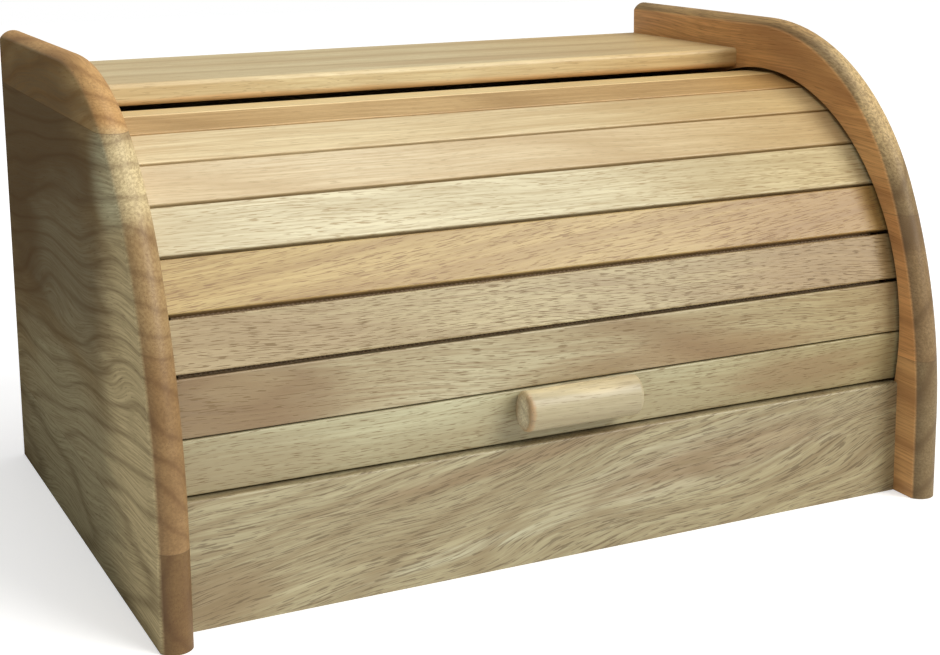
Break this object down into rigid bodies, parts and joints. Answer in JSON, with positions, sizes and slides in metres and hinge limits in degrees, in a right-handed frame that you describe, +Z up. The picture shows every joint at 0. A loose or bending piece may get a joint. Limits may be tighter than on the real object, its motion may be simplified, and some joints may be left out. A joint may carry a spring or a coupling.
{
  "type": "roll-top bread box",
  "caption": "Wooden bread box with rounded end panels, a fixed front board and top shelf, and a slatted roll-top shutter that slides back along curved tracks.",
  "frame": {"origin": "on the surface it stands on, under the middle of the box", "axes": "+X along the slats to the right, +Y from front to back, +Z up"},
  "size_m": [0.4, 0.28, 0.232],
  "materials": {
    "panel_wood": "satin clear lacquer",
    "board_wood": "satin clear lacquer",
    "slat_wood": "satin clear lacquer",
    "handle_wood": "satin clear lacquer",
    "plywood": "sealed",
    "dowel_wood": "raw",
    "canvas": "plain weave cotton",
    "screw_steel": "zinc plated"
  },
  "bodies": {
    "box": {"left_end_panel": "panel_wood", "right_end_panel": "panel_wood", "front_board": "board_wood", "shelf_board": "board_wood", "base_board": "plywood", "back_panel": "plywood", "shelf_dowels": "dowel_wood", "front_board_dowels": "dowel_wood"},
    "shutter": {"slat_01": "slat_wood", "slat_02": "slat_wood", "slat_03": "slat_wood", "slat_04": "slat_wood", "slat_05": "slat_wood", "slat_06": "slat_wood", "slat_07": "slat_wood", "slat_08": "slat_wood", "slat_09": "slat_wood", "slat_10": "slat_wood", "canvas_backing": "canvas", "handle": "handle_wood", "handle_screws": "screw_steel"}
  },
  "joints": [
    {"name": "shutter_travel", "type": "hinge", "parent": "box", "child": "shutter", "pos_m": [0, 0.002, 0.0811], "axis": [-1, 0, 0], "range_deg": [0, 95.5]}
  ]
}
